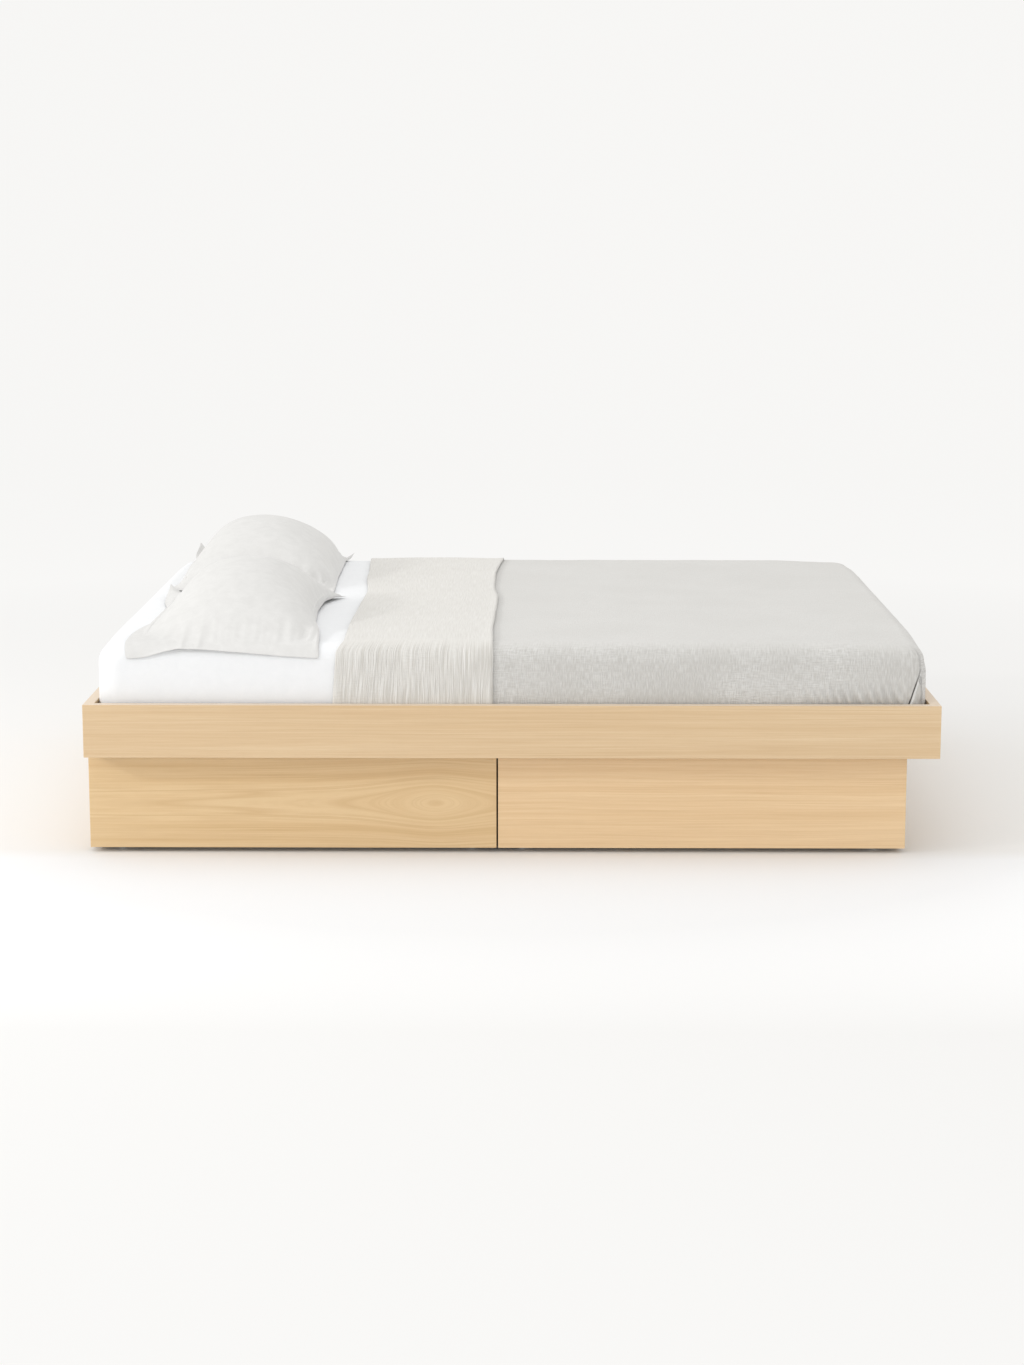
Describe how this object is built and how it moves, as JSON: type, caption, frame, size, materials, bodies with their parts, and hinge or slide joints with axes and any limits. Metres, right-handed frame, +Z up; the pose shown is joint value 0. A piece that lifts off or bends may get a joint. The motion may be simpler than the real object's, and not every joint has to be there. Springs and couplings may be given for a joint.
{
  "type": "platform bed with storage drawers",
  "caption": "Low oak-veneer platform bed with deep box rails over a set-back base, full-width storage drawers on castors, slats, mattress, muslin blanket and pillows.",
  "frame": {"origin": "on the floor under the middle of the bed's outer length and width", "axes": "+X from head to foot along the bed, -Y the side the drawers open to, +Z up"},
  "size_m": [2.06, 1.66, 0.6891],
  "materials": {
    "oak_veneer": "matt lacquered light oak veneer, grain along the board",
    "pine": "planed pine, unlacquered",
    "plywood": "clear-sealed birch plywood",
    "steel": "zinc-plated steel, satin",
    "wheel": "light grey nylon, satin",
    "foot": "black plastic glide, matt",
    "sheet": "white plain-weave cotton sheet",
    "muslin": "crinkled double muslin, light grey face and cream reverse",
    "pillow_case": "washed off-white linen, flanged edge"
  },
  "bodies": {
    "root": {"side_rail_front": "oak_veneer", "side_rail_back": "oak_veneer", "head_rail": "oak_veneer", "foot_rail": "oak_veneer", "slat_ledge_front": "pine", "slat_ledge_back": "pine", "centre_beam": "steel", "slat_01": "pine", "slat_02": "pine", "slat_03": "pine", "slat_04": "pine", "slat_05": "pine", "slat_06": "pine", "slat_07": "pine", "slat_08": "pine", "slat_09": "pine", "slat_10": "pine", "slat_11": "pine", "slat_12": "pine", "slat_13": "pine", "base_head_panel": "oak_veneer", "base_divider": "oak_veneer", "base_foot_panel": "oak_veneer", "base_back_panel": "oak_veneer", "head_panel_glide_front": "foot", "head_panel_glide_back": "foot", "divider_glide_front": "foot", "divider_glide_back": "foot", "foot_panel_glide_front": "foot", "foot_panel_glide_back": "foot", "mattress": "sheet", "blanket": "muslin", "pillow_front": "pillow_case", "pillow_back": "pillow_case"},
    "drawer_head": {"drawer_head_front": "oak_veneer", "drawer_head_side_head": "plywood", "drawer_head_side_foot": "plywood", "drawer_head_back": "plywood", "drawer_head_bottom": "plywood", "castor_fork_head_front_head": "steel", "castor_fork_head_front_foot": "steel", "castor_fork_head_back_head": "steel", "castor_fork_head_back_foot": "steel"},
    "drawer_foot": {"drawer_foot_front": "oak_veneer", "drawer_foot_side_head": "plywood", "drawer_foot_side_foot": "plywood", "drawer_foot_back": "plywood", "drawer_foot_bottom": "plywood", "castor_fork_foot_front_head": "steel", "castor_fork_foot_front_foot": "steel", "castor_fork_foot_back_head": "steel", "castor_fork_foot_back_foot": "steel"},
    "wheel_head_front_head": {"castor_wheel_head_front_head": "wheel"},
    "wheel_head_front_foot": {"castor_wheel_head_front_foot": "wheel"},
    "wheel_head_back_head": {"castor_wheel_head_back_head": "wheel"},
    "wheel_head_back_foot": {"castor_wheel_head_back_foot": "wheel"},
    "wheel_foot_front_head": {"castor_wheel_foot_front_head": "wheel"},
    "wheel_foot_front_foot": {"castor_wheel_foot_front_foot": "wheel"},
    "wheel_foot_back_head": {"castor_wheel_foot_back_head": "wheel"},
    "wheel_foot_back_foot": {"castor_wheel_foot_back_foot": "wheel"}
  },
  "joints": [
    {"name": "drawer_head_slide", "type": "slide", "parent": "root", "child": "drawer_head", "axis": [0, -1, 0], "range_m": [0, 0.6]},
    {"name": "drawer_foot_slide", "type": "slide", "parent": "root", "child": "drawer_foot", "axis": [0, -1, 0], "range_m": [0, 0.6]},
    {"name": "wheel_head_front_head_spin", "type": "hinge", "parent": "drawer_head", "child": "wheel_head_front_head", "pos_m": [-0.9575, -0.717, 0.019], "axis": [1, 0, 0], "continuous": true},
    {"name": "wheel_head_front_foot_spin", "type": "hinge", "parent": "drawer_head", "child": "wheel_head_front_foot", "pos_m": [-0.0965, -0.717, 0.019], "axis": [1, 0, 0], "continuous": true},
    {"name": "wheel_head_back_head_spin", "type": "hinge", "parent": "drawer_head", "child": "wheel_head_back_head", "pos_m": [-0.9575, -0.1266, 0.019], "axis": [1, 0, 0], "continuous": true},
    {"name": "wheel_head_back_foot_spin", "type": "hinge", "parent": "drawer_head", "child": "wheel_head_back_foot", "pos_m": [-0.0965, -0.1266, 0.019], "axis": [1, 0, 0], "continuous": true},
    {"name": "wheel_foot_front_head_spin", "type": "hinge", "parent": "drawer_foot", "child": "wheel_foot_front_head", "pos_m": [0.0265, -0.717, 0.019], "axis": [1, 0, 0], "continuous": true},
    {"name": "wheel_foot_front_foot_spin", "type": "hinge", "parent": "drawer_foot", "child": "wheel_foot_front_foot", "pos_m": [0.8875, -0.717, 0.019], "axis": [1, 0, 0], "continuous": true},
    {"name": "wheel_foot_back_head_spin", "type": "hinge", "parent": "drawer_foot", "child": "wheel_foot_back_head", "pos_m": [0.0265, -0.1266, 0.019], "axis": [1, 0, 0], "continuous": true},
    {"name": "wheel_foot_back_foot_spin", "type": "hinge", "parent": "drawer_foot", "child": "wheel_foot_back_foot", "pos_m": [0.8875, -0.1266, 0.019], "axis": [1, 0, 0], "continuous": true}
  ],
  "couplings": [
    {"joint": "wheel_head_front_head_spin", "follows": "drawer_head_slide", "rad_per_m": 52.632},
    {"joint": "wheel_head_front_foot_spin", "follows": "drawer_head_slide", "rad_per_m": 52.632},
    {"joint": "wheel_head_back_head_spin", "follows": "drawer_head_slide", "rad_per_m": 52.632},
    {"joint": "wheel_head_back_foot_spin", "follows": "drawer_head_slide", "rad_per_m": 52.632},
    {"joint": "wheel_foot_front_head_spin", "follows": "drawer_foot_slide", "rad_per_m": 52.632},
    {"joint": "wheel_foot_front_foot_spin", "follows": "drawer_foot_slide", "rad_per_m": 52.632},
    {"joint": "wheel_foot_back_head_spin", "follows": "drawer_foot_slide", "rad_per_m": 52.632},
    {"joint": "wheel_foot_back_foot_spin", "follows": "drawer_foot_slide", "rad_per_m": 52.632}
  ]
}
